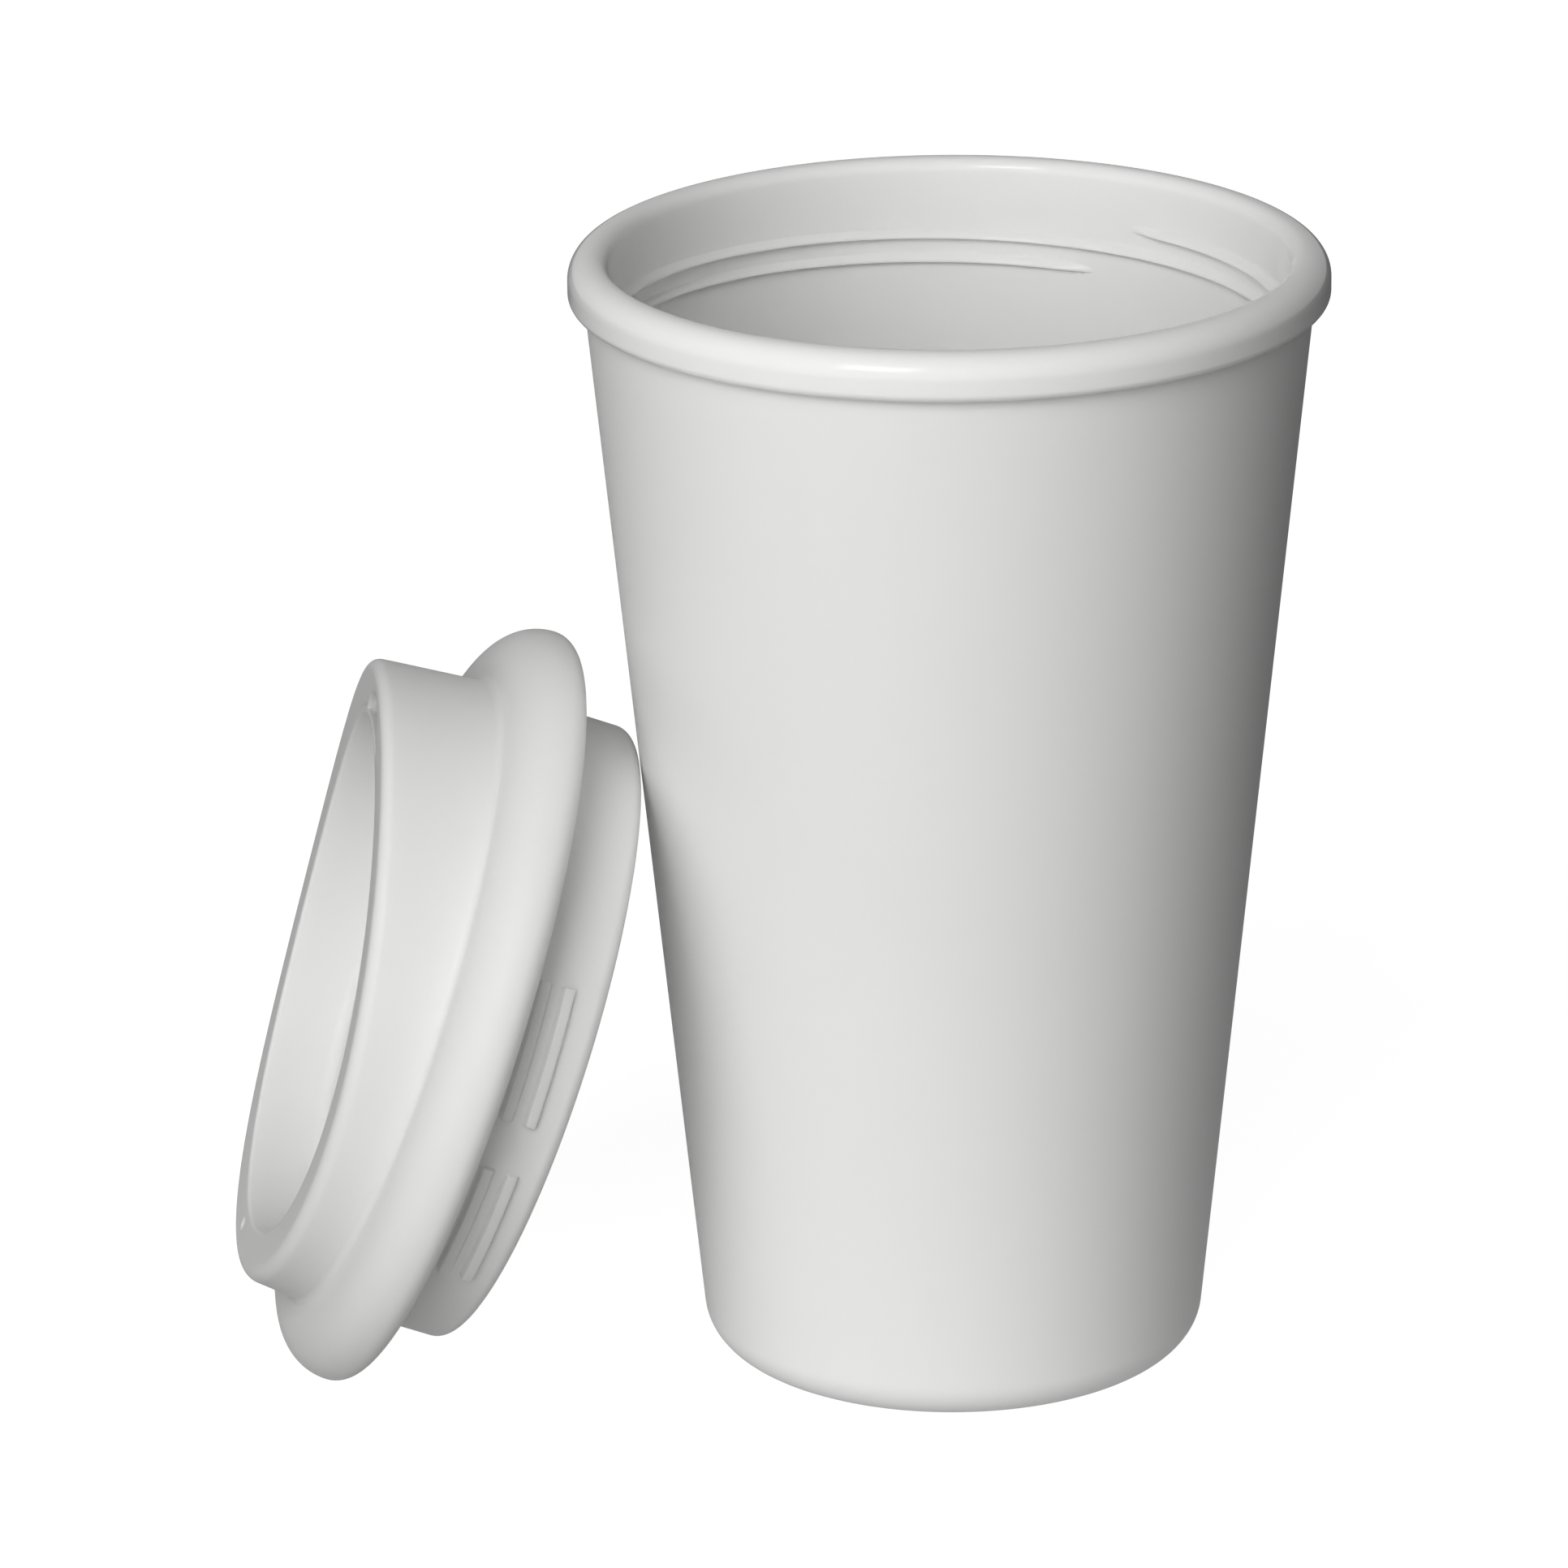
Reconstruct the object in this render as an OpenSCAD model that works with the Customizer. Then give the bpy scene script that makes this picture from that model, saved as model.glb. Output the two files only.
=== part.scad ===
// Plastic screw-lid travel cup, lid off and leaning on the wall.
// Millimetres, +Z up, origin at the middle of the cup's base on the table.

/* [Cup outside] */
// Height of the rim's crest above the table
cup_height = 140.5; // [110:0.5:180]
// Outer radius of the wall at the table, before the base rounding
base_radius = 30.6; // [25:0.1:36]
// Outer radius of the wall just under the rim
wall_top_radius = 44.05; // [38:0.05:48]
// Rounding between wall and base
base_round = 5.4; // [1:0.1:8]
// Thickness of the outer shell's wall
shell_wall = 1.2; // [0.9:0.05:2]
// Thickness of the outer shell's floor
shell_floor = 1.8; // [1.2:0.1:3]
// Width of the flat foot ring round the recess under the base
foot_ring = 3.7; // [1:0.1:8]
// Depth of the shallow recess under the base
foot_recess_depth = 0.8; // [0.2:0.1:1]

/* [Rim and liner] */
// How far the rim bead stands out past the wall
rim_overhang = 1.95; // [1.2:0.05:3]
// Height of the rim bead
rim_height = 5.65; // [4.2:0.05:8]
// Rounding on the outer top of the rim
rim_outer_round = 3.05; // [1.5:0.05:3.5]
// Rounding on the lower outer corner of the rim
rim_lower_round = 1.05; // [0.3:0.05:1.1]
// Thickness of the liner's wall at the top of the neck
neck_wall = 1.5; // [1.2:0.05:2.5]
// Plain stretch of neck below the thread
neck_plain = 3.05; // [1:0.05:8]
// Radius lost down the neck
neck_draft = 0.75; // [0.1:0.05:1]
// Thickness of the liner's wall below the neck
liner_wall = 1.45; // [1:0.05:2]
// Thickness of the liner's floor
liner_floor = 1.6; // [1.2:0.1:3]
// Play between liner and shell under the rim
liner_play = 0.1; // [0.05:0.05:0.2]
// Extra air gap between the walls at the floor
air_gap = 1.6; // [0.5:0.1:4]
// Air gap between the two floors
floor_gap = 1.4; // [0.5:0.1:4]
// Rounding inside at the floor of the liner
floor_round = 4; // [1:0.5:8]

/* [Screw thread] */
// Axial distance between neighbouring ridges of the two starts
thread_spacing = 3.04; // [2.8:0.02:4]
// How far the cup's ridges stand out at the neck's top
ridge_height = 1.35; // [1.2:0.05:1.5]
// Axial size of a ridge at its root, most of it the gentle upper flank
ridge_root = 1.35; // [0.9:0.05:1.6]
// Axial size of a ridge at its crest
ridge_crest = 0.25; // [0.15:0.05:0.5]
// Axial run of a ridge's steep underside
ridge_under = 0.2; // [0.1:0.05:0.4]
// Sweep of each ridge in degrees
ridge_sweep = 354; // [200:1:356]
// Direction of the upper end of the first ridge
ridge_start = 57; // [0:1:359]
// Depth below the rim's crest of the steep edge at a ridge's upper end
ridge_top_depth = 7.5; // [6.3:0.05:8]
// Angle over which a ridge runs out at each end
ridge_fade = 6; // [3:1:30]
// Play between the lid's skirt and the ridges
thread_play = 0.45; // [0.3:0.05:0.6]
// How far the lid's ribs stand out of the skirt
rib_height = 0.9; // [0.6:0.05:1]
// Axial size of a rib at its root
rib_root = 1.85; // [1.2:0.05:2]
// Axial size of a rib at its crest
rib_crest = 1.35; // [0.8:0.05:1.5]
// Depth of the lower rib's lower edge below the flange lip, at the middle of its group
rib_depth = 6.53; // [6.2:0.01:7]
// Sweep of each rib segment in degrees
rib_sweep = 25.2; // [10:0.2:40]
// Gap between the two rib segments of a group in degrees
rib_gap = 9.4; // [2:0.2:20]

/* [Lid] */
// Thickness of the flange's moulding
flange_wall = 1.85; // [1.4:0.05:2.5]
// Play between the flange's lip and the rim
flange_play = 0.4; // [0.2:0.05:1]
// Height of the flange
flange_height = 8.55; // [7.5:0.05:10]
// Rounding on the lower outer corner of the flange
flange_lower_round = 2.35; // [1:0.05:3]
// Length of the skirt below the flange's lip
skirt_length = 10.1; // [9.5:0.1:12]
// Thickness of the skirt at its end
skirt_wall = 2.5; // [1.8:0.1:3]
// How much thicker the skirt's wall is at the lid's top
skirt_taper = 0.5; // [0:0.05:1]
// Rounding on the outer end of the skirt
skirt_end_round = 1.5; // [0.5:0.1:1.8]
// How far the collar's foot stands out past the skirt
collar_step = 0.4; // [0:0.05:2]
// Inward lean of the collar's wall in degrees
collar_lean = 4.5; // [1:0.5:5]
// Height of the collar's top at its lowest line, above the flange's lip
collar_low = 15.45; // [14:0.05:18]
// Radius of the hollow curve along the collar's top
sweep_radius = 294; // [240:2:600]
// Distance of the curve's lowest line from the lid's axis
sweep_shift = 31.2; // [20:0.2:36]
// Rounding of the collar's outer top edge
collar_round = 1.8; // [1:0.1:2]
// Thickness of the ledge on the collar
ledge_wall = 1.6; // [1.2:0.1:2]
// Distance from the collar's foot in to the recess
ledge_width = 7.55; // [6:0.05:12]
// Shift of the recess away from the drinking hole
recess_shift = 1; // [0:0.1:1.2]
// Thickness of the recess wall
recess_wall = 1.1; // [0.8:0.05:1.2]
// Height of the recess floor above the flange's lip
recess_floor = 6.8; // [6:0.1:9]
// Thickness of the recess floor
floor_wall = 1.5; // [1.2:0.1:2]
// Rounding between recess wall and floor
recess_round = 1.5; // [0.5:0.1:3]
// Radius of the drinking hole's outer edge
mouth_radius = 9.8; // [9:0.1:12]
// Distance from the collar's foot in to the drinking hole's outer edge
mouth_margin = 3.85; // [3.4:0.05:5]
// Diameter of the vent hole
vent_diameter = 1.9; // [1:0.1:2]
// Distance from the collar's foot in to the vent hole's middle
vent_margin = 4.35; // [4:0.05:5]

/* [Lid pose] */
// Direction from the cup's axis to the lid
lid_direction = 183.6; // [0:0.1:359]
// Turn of the lid's axis away from that direction
lid_yaw = 3.9; // [-10:0.1:10]
// Lean of the lid back from upright
lid_lean = 20.8; // [10:0.1:35]
// Turn of the lid about its own axis
lid_turn = -2.5; // [-180:0.5:180]
// Air left between the skirt's end and the cup
lean_gap = 0.15; // [0.05:0.05:0.3]

/* [Hidden] */

$fa = 2;
$fs = 0.4;
eps = 0.01;

rim_base_z = cup_height - rim_height;
rim_radius = wall_top_radius + rim_overhang;
wall_slope = (wall_top_radius - base_radius) / rim_base_z;
wall_angle = atan(wall_slope);
base_flat = base_radius + wall_slope * base_round - base_round / cos(wall_angle);
foot_recess_radius = base_flat - foot_ring;
liner_bottom_z = shell_floor + floor_gap;
liner_inner_z = liner_bottom_z + liner_floor;
shell_step = shell_wall / cos(wall_angle);
liner_outer_top = wall_top_radius - shell_step - liner_play;
neck_radius = liner_outer_top - neck_wall;
rim_crest_r = rim_radius - rim_outer_round;
rim_inner_round = rim_crest_r - neck_radius;
liner_outer_foot = shell_inner_r(liner_bottom_z) - liner_play - air_gap;
liner_inner_foot = liner_outer_foot - liner_wall;

lead = 2 * thread_spacing;
neck_depth = ridge_top_depth + lead * ridge_sweep / 360 + neck_plain;
neck_z = cup_height - neck_depth;
neck_low_radius = neck_radius - neck_draft;
neck_slope = neck_draft / (neck_depth - rim_inner_round);
bore_slope = (neck_low_radius - liner_inner_foot) / (neck_z - liner_inner_z);
bore_angle = atan(bore_slope);
bore_flat = liner_inner_foot + bore_slope * floor_round - floor_round / cos(bore_angle);
ridge_tip = neck_radius - ridge_height;
ridge_bite = 0.4;
ridge_sink = 0.1;
sweep_step = 6;
rib_step = 3.15;
rib_bite = 0.6;

skirt_radius = ridge_tip - thread_play;
skirt_inner = skirt_radius - skirt_wall;
skirt_inner_top = skirt_inner - skirt_taper;
rib_tip = skirt_radius + rib_height;
flange_radius = rim_radius + flange_play + flange_wall;
flange_top_round = flange_height - flange_lower_round;
flange_groove_r = flange_top_round - flange_wall;
flange_arc_r = flange_radius - flange_top_round;
lip_angle = acos((flange_lower_round - flange_wall) / flange_lower_round);
collar_radius = skirt_radius + collar_step;
collar_slope = tan(collar_lean);
collar_fillet = 1;
recess_radius = collar_radius - ledge_width;
mouth_reach = collar_radius - mouth_margin;
vent_reach = collar_radius - vent_margin;
fillet_x = collar_radius + collar_fillet * (1 / cos(collar_lean) - collar_slope);
lid_top = 30;
draft = 0.03;
edge_steps = 90;
edge_arcs = 6;
edge_trim = 8;

// Radius of the shell's inner face at height z
function shell_inner_r(z) = base_radius + wall_slope * z - shell_step;

// Radius of the neck's inner face at height z
function neck_r(z) = neck_radius - neck_slope * (cup_height - rim_inner_round - z);

// Height of the collar's top, u millimetres from the axis toward the drinking hole
function sweep_z(u) = collar_low + sweep_radius - sqrt(pow(sweep_radius, 2) - pow(u + sweep_shift, 2));

// Rise of the collar's top per millimetre at u
function sweep_rise(u) = (u + sweep_shift) / sqrt(pow(sweep_radius, 2) - pow(u + sweep_shift, 2));

// Points of an arc round c, of radius r, from angle a0 to a1 in n steps
function bend(c, r, a0, a1, n) = [for (i = [0 : n]) let (a = a0 + (a1 - a0) * i / n) c + r * [cos(a), sin(a)]];

// Faces of a swept bar: rings sections of count points each, closed into a loop or capped
function bar_faces(rings, count, loop) = concat(
    [for (i = [0 : rings - (loop ? 1 : 2)], j = [0 : count - 1])
        [i * count + j, i * count + (j + 1) % count, ((i + 1) % rings) * count + (j + 1) % count]],
    [for (i = [0 : rings - (loop ? 1 : 2)], j = [0 : count - 1])
        [i * count + j, ((i + 1) % rings) * count + (j + 1) % count, ((i + 1) % rings) * count + j]],
    loop ? [] : [[for (j = [count - 1 : -1 : 0]) j]],
    loop ? [] : [[for (j = [0 : count - 1]) (rings - 1) * count + j]]
);

// Places a section point of radius p[0] and height p[1] at angle a
function turn(p, a) = [p[0] * cos(a), p[0] * sin(a), p[1]];

// Share of full height at angle t of a ridge
function fade(t) = min(1, t / ridge_fade, (ridge_sweep - t) / ridge_fade);

// Inner radius of a ridge at height z, where it has the given share of its full height
function ridge_r(z, share) = neck_r(z) + ridge_sink - share * (neck_r(z) + ridge_sink - ridge_tip);

// Buttress section of a ridge: steep edge at height z, gentle flank above it
function ridge_section(z, share) = [
    [neck_r(z) + ridge_bite, z - ridge_under],
    [neck_r(z) + ridge_bite, z - ridge_under + ridge_root],
    [ridge_r(z, share), z + ridge_crest],
    [ridge_r(z, share), z]
];

// One inward ridge of the cup's thread, falling clockwise from its upper end
module ridge() {
    rings = floor(ridge_sweep / sweep_step) + 1;
    step = ridge_sweep / (rings - 1);
    points = [for (i = [0 : rings - 1], p = ridge_section(
        cup_height - ridge_top_depth - lead * (ridge_sweep - i * step) / 360, fade(ridge_sweep - i * step)))
        turn(p, ridge_start - ridge_sweep + i * step)];
    polyhedron(points = points, faces = bar_faces(rings, 4, false), convexity = 6);
}

// Section of a lid rib whose lower edge is at height z
function rib_section(z) = [
    [skirt_radius - rib_bite, z],
    [rib_tip, z + (rib_root - rib_crest) / 2],
    [rib_tip, z + (rib_root + rib_crest) / 2],
    [skirt_radius - rib_bite, z + rib_root]
];

// One rib segment on the lid's skirt, from angle a0 upward along the helix
module rib(a0, z0) {
    rings = floor(rib_sweep / rib_step) + 1;
    step = rib_sweep / (rings - 1);
    points = [for (i = [0 : rings - 1], p = rib_section(z0 + lead * (a0 + i * step) / 360))
        turn(p, a0 + i * step)];
    polyhedron(points = points, faces = bar_faces(rings, 4, false), convexity = 4);
}

// Section of the outer shell as a solid
module shell_outline() {
    polygon(concat([[0, 0]],
        bend([base_flat, base_round], base_round, -90, -wall_angle, 10),
        [[wall_top_radius, rim_base_z], [0, rim_base_z]]));
}

// Section of the space inside the shell, one wall thickness in from the outside
module cavity_outline() {
    polygon(concat([[0, shell_wall]],
        bend([base_flat, base_round], base_round - shell_wall, -90, -wall_angle, 10),
        [[shell_inner_r(rim_base_z + 1), rim_base_z + 1], [0, rim_base_z + 1]]));
}

module outer_shell() {
    color([0.93, 0.93, 0.92]) difference() {
        rotate_extrude() shell_outline();
        intersection() {
            rotate_extrude() cavity_outline();
            translate([0, 0, shell_floor]) cylinder(h = cup_height, r = rim_radius);
        }
        translate([0, 0, -1])
            cylinder(h = 1 + foot_recess_depth, r1 = foot_recess_radius + 0.5, r2 = foot_recess_radius - 0.4);
    }
}

// Section of the liner: floor, wall, rim bead, neck and bore
module liner_outline() {
    polygon(concat([[0, liner_bottom_z], [liner_outer_foot, liner_bottom_z], [liner_outer_top, rim_base_z]],
        bend([rim_radius - rim_lower_round, rim_base_z + rim_lower_round], rim_lower_round, -90, 0, 5),
        bend([rim_crest_r, cup_height - rim_outer_round], rim_outer_round, 0, 90, 10),
        bend([rim_crest_r, cup_height - rim_inner_round], rim_inner_round, 95, 180, 8),
        [[neck_low_radius, neck_z]],
        bend([bore_flat, liner_inner_z + floor_round], floor_round, -bore_angle, -90, 8),
        [[0, liner_inner_z]]));
}

module inner_liner() {
    color([0.97, 0.97, 0.96]) union() {
        rotate_extrude() liner_outline();
        ridge();
        rotate([0, 0, 180]) ridge();
    }
}

// Section of the lid's outside: skirt, hollow flange and collar
module lid_outline() {
    polygon(concat([[0, -skirt_length]],
        bend([skirt_radius - skirt_end_round, skirt_end_round - skirt_length], skirt_end_round, -90, 0, 6),
        [[skirt_radius, flange_height - flange_wall]],
        bend([flange_arc_r, flange_lower_round], flange_groove_r, 90, 0, 8),
        bend([flange_radius - flange_lower_round, flange_lower_round], flange_lower_round, -lip_angle, 0, 7),
        bend([flange_arc_r, flange_lower_round], flange_top_round, 8, 90, 12),
        bend([fillet_x, flange_height + collar_fillet], collar_fillet, 270, 180 + collar_lean, 5),
        [[collar_radius - collar_slope * (lid_top - flange_height), lid_top], [0, lid_top]]));
}

// Everything above the collar's hollow top, which is lowered by drop
module above_sweep(drop) {
    translate([-60, -sweep_shift, collar_low + sweep_radius - drop]) rotate([0, 90, 0])
        cylinder(h = 120, r = sweep_radius, $fn = 360);
}

// The recess and its wall share one shape, grown by extra and sunk by deep
module recess(extra, deep) {
    z0 = recess_floor - deep;
    r0 = recess_radius + extra - draft * (collar_low - recess_floor);
    corner = recess_round + extra;
    translate([0, -recess_shift, z0]) rotate_extrude()
        polygon(concat([[0, 0]],
            bend([r0 - corner, corner], corner, -90, 0, 6),
            [[r0 + draft * (lid_top - z0), lid_top - z0], [0, lid_top - z0]]));
}

// Section of the cutter that rounds the collar's outer top edge at angle a
function edge_section(a) =
    let (u0 = (collar_radius - collar_slope * (collar_low - flange_height)) * sin(a),
        zt = sweep_z(u0),
        rw = collar_radius - collar_slope * (zt - flange_height),
        z1 = sweep_z(rw * sin(a)),
        k = sweep_rise(rw * sin(a)) * sin(a),
        tilt = atan(k),
        x = (collar_slope / cos(tilt) - 1 / cos(collar_lean)) * collar_round / (1 + collar_slope * k),
        c = [rw + x, z1 + k * x - collar_round / cos(tilt)],
        t0 = collar_lean + edge_trim,
        t1 = 90 + tilt - edge_trim,
        arc = [for (i = [0 : edge_arcs]) c + collar_round * [cos(t0 + (t1 - t0) * i / edge_arcs),
            sin(t0 + (t1 - t0) * i / edge_arcs)]],
        low = arc[0] + 2.6 * [sin(t0), -cos(t0)],
        high = arc[edge_arcs] + 2.4 * [-sin(t1), cos(t1)])
    concat([high], [for (i = [edge_arcs : -1 : 0]) arc[i]], [low, [low[0] + 1.5, high[1] + 3],
        [high[0], high[1] + 3]]);

// Ring that leaves a rounding along the collar's curved top edge
module edge_cutter() {
    count = edge_arcs + 5;
    points = [for (i = [0 : edge_steps - 1], p = edge_section(i * 360 / edge_steps))
        turn(p, i * 360 / edge_steps)];
    polyhedron(points = points, faces = bar_faces(edge_steps, count, true), convexity = 6);
}

// Space under the lid, between the skirt and the recess
module lid_underside() {
    difference() {
        translate([0, 0, -skirt_length - 1])
            cylinder(h = lid_top + skirt_length + 1, r1 = skirt_inner, r2 = skirt_inner_top);
        above_sweep(ledge_wall);
        recess(recess_wall, floor_wall);
    }
}

// Lens-shaped drinking hole through the ledge, beside the recess wall
module mouth_hole() {
    difference() {
        translate([0, mouth_reach - mouth_radius, recess_floor + 2]) cylinder(h = lid_top, r = mouth_radius);
        recess(recess_wall, floor_wall);
    }
}

// The lid upright, with the drinking hole toward +Y
module lid_body() {
    difference() {
        rotate_extrude() lid_outline();
        above_sweep(0);
        lid_underside();
        recess(0, 0);
        mouth_hole();
        translate([0, -vent_reach, recess_floor + 2]) cylinder(h = lid_top, d = vent_diameter);
        edge_cutter();
    }
    for (side = [0, 180], seg = [-1, 1], row = [0, 1])
        rotate([0, 0, side])
            rib(seg > 0 ? rib_gap / 2 : -rib_gap / 2 - rib_sweep, row * thread_spacing - rib_depth);
}

// Height of the lid's middle when the flange stands on the table
stand_z = (flange_radius - flange_lower_round) * cos(lid_lean)
    - flange_lower_round * sin(lid_lean) + flange_lower_round;

// Directions of the leaning lid's axis and of its two cross axes
lid_az = lid_direction + lid_yaw;
axis_n = [cos(lid_lean) * cos(lid_az), cos(lid_lean) * sin(lid_az), sin(lid_lean)];
axis_x = [-sin(lid_az), cos(lid_az), 0];
axis_y = cross(axis_n, axis_x);

// Point on the skirt's rounded end at turn a and rounding angle t, with the lid dist from the cup's axis
function skirt_point(dist, a, t) =
    let (r = skirt_radius - skirt_end_round + skirt_end_round * cos(t),
        z = skirt_end_round - skirt_length - skirt_end_round * sin(t))
    [dist * cos(lid_direction), dist * sin(lid_direction), stand_z]
        + r * cos(a) * axis_x + r * sin(a) * axis_y + z * axis_n;

// Distance of a point from the cup's tapered wall
function wall_gap(p) = (norm([p[0], p[1]]) - base_radius - wall_slope * p[2]) * cos(wall_angle);

// Smallest distance between skirt end and cup wall
function least_gap(dist) = min([for (a = [0 : 3 : 357], t = [0 : 10 : 90]) wall_gap(skirt_point(dist, a, t))]);

// Moves the lid until only the lean gap is left
function settle(dist, rounds) = rounds == 0 ? dist
    : settle(dist - (least_gap(dist) - lean_gap) / cos(wall_angle), rounds - 1);

lid_dist = settle(wall_top_radius + skirt_length, 6);

module lid() {
    color([0.95, 0.95, 0.94])
        translate([lid_dist * cos(lid_direction), lid_dist * sin(lid_direction), stand_z])
            rotate([90 - lid_lean, 0, lid_az + 90])
                rotate([0, 0, lid_turn])
                    lid_body();
}

outer_shell();
inner_liner();
lid();
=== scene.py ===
"""White plastic travel cup with its screw lid off, dressed and lit.

The cup is a double wall: a satin outer shell and a glossier inner liner whose
rim closes over the shell's top and whose neck carries a two-start thread. The
lid leans on the cup's left side. Sizes are in millimetres in the classes, and
each finished mesh is turned to metres before it becomes an object.
"""

from __future__ import annotations

import logging
import math
from dataclasses import dataclass, field
from enum import Enum

import bmesh
import bpy
from mathutils import Matrix, Vector


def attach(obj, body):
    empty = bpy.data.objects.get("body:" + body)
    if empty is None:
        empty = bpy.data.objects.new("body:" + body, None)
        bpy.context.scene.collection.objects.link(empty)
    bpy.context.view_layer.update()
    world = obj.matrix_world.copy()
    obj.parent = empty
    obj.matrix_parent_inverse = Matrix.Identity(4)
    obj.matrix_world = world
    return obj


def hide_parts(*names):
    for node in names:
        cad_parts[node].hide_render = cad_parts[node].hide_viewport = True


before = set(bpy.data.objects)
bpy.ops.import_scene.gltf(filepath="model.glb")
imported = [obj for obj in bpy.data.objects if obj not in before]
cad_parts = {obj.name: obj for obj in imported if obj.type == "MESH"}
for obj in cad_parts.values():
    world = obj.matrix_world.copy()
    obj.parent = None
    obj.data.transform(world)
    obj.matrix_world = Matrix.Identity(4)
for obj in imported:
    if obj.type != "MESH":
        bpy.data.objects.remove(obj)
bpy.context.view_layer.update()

LOG = logging.getLogger("travel_cup")
MM = 0.001
MERGE = 0.0005
Point = tuple[float, float]
Grid = list[list[bmesh.types.BMVert]]


def srgb(hex_colour: str) -> tuple[float, float, float, float]:
    """Turns an sRGB hex colour into linear RGBA.

    Args:
        hex_colour: six hex digits with a leading hash.

    Returns:
        The linear colour with an alpha of 1.
    """
    channels = [int(hex_colour[i : i + 2], 16) / 255 for i in (1, 3, 5)]
    linear = [c / 12.92 if c <= 0.04045 else ((c + 0.055) / 1.055) ** 2.4 for c in channels]
    return (linear[0], linear[1], linear[2], 1.0)


def grey(level: float) -> tuple[float, float, float, float]:
    """A neutral linear colour.

    Args:
        level: the linear brightness.

    Returns:
        Linear RGBA with an alpha of 1.
    """
    return (level, level, level, 1.0)


def add_node(
    tree: bpy.types.NodeTree,
    kind: str,
    settings: dict[str, object] | None = None,
    inputs: dict[str | int, object] | None = None,
) -> bpy.types.Node:
    """Adds one shader node with its settings, socket values and links.

    Args:
        tree: the node tree that takes it.
        kind: the node's type name, such as ShaderNodeBump.
        settings: attributes set on the node itself.
        inputs: socket names or numbers, each with a value or an output socket to link.

    Returns:
        The new node.
    """
    node = tree.nodes.new(kind)
    for name, value in (settings or {}).items():
        setattr(node, name, value)
    for name, value in (inputs or {}).items():
        if isinstance(value, bpy.types.NodeSocket):
            tree.links.new(value, node.inputs[name])
        else:
            node.inputs[name].default_value = value
    return node


def arc(centre: Point, radius: float, start: float, end: float, steps: int) -> list[Point]:
    """Points along a circular arc of a turned outline.

    Args:
        centre: the arc's centre as radius and height.
        radius: the arc's own radius.
        start: the first angle in degrees, 0 outward and 90 up.
        end: the last angle in degrees.
        steps: how many straight pieces the arc gets.

    Returns:
        The points from start to end, both included.
    """
    angles = [math.radians(start + (end - start) * i / steps) for i in range(steps + 1)]
    return [(centre[0] + radius * math.cos(a), centre[1] + radius * math.sin(a)) for a in angles]


def straight(start: Point, end: Point, steps: int) -> list[Point]:
    """Points inside a straight stretch, without its two ends.

    Args:
        start: where the stretch begins.
        end: where it ends.
        steps: how many pieces it is cut into.

    Returns:
        The steps - 1 points between the ends.
    """
    return [
        (start[0] + (end[0] - start[0]) * i / steps, start[1] + (end[1] - start[1]) * i / steps)
        for i in range(1, steps)
    ]


def soften(mesh: bmesh.types.BMesh, edges: list[bmesh.types.BMEdge], offset: float) -> None:
    """Rounds edges with three narrow facets.

    Args:
        mesh: the mesh that holds the edges, changed in place.
        edges: the edges to round.
        offset: the rounding's width in millimetres.
    """
    bmesh.ops.bevel(
        mesh,
        geom=edges,
        offset=offset,
        offset_type="OFFSET",
        segments=3,
        profile=0.5,
        affect="EDGES",
        material=-1,
        clamp_overlap=True,
    )


def lathe(mesh: bmesh.types.BMesh, outline: list[Point], steps: int) -> None:
    """Turns an outline that starts and ends on the axis into a closed solid.

    Args:
        mesh: the mesh that takes the solid.
        outline: radius and height of each point, in order.
        steps: how many facets go round.
    """
    verts = [mesh.verts.new((max(r, 0.0), 0.0, z)) for r, z in outline]
    edges = [mesh.edges.new(pair) for pair in zip(verts, verts[1:])]
    bmesh.ops.spin(
        mesh,
        geom=verts + edges,
        cent=(0, 0, 0),
        axis=(0, 0, 1),
        dvec=(0, 0, 0),
        angle=math.tau,
        steps=steps,
        use_merge=True,
        use_normal_flip=False,
        use_duplicate=False,
    )
    bmesh.ops.remove_doubles(mesh, verts=mesh.verts[:], dist=MERGE)


def helix(section: list[Point], start: float, sweep: float, rise: float, steps: int) -> bmesh.types.BMesh:
    """Sweeps a closed section along a helix and closes its two ends.

    Args:
        section: radius and height of the section's corners, in order.
        start: the first angle in degrees.
        sweep: the swept angle in degrees.
        rise: how far the section climbs over the sweep.
        steps: how many pieces the sweep gets.

    Returns:
        A new mesh that holds only the swept bar.
    """
    bar = bmesh.new()
    verts = [bar.verts.new((r, 0.0, z)) for r, z in section]
    edges = [bar.edges.new((verts[i], verts[(i + 1) % len(verts)])) for i in range(len(verts))]
    bmesh.ops.rotate(bar, verts=verts, cent=(0, 0, 0), matrix=Matrix.Rotation(math.radians(start), 3, "Z"))
    bmesh.ops.spin(
        bar,
        geom=verts + edges,
        cent=(0, 0, 0),
        axis=(0, 0, 1),
        dvec=(0, 0, rise / steps),
        angle=math.radians(sweep),
        steps=steps,
        use_merge=False,
        use_normal_flip=False,
        use_duplicate=False,
    )
    bmesh.ops.holes_fill(bar, edges=[e for e in bar.edges if e.is_boundary], sides=0)
    bmesh.ops.recalc_face_normals(bar, faces=bar.faces[:])
    return bar


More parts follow.
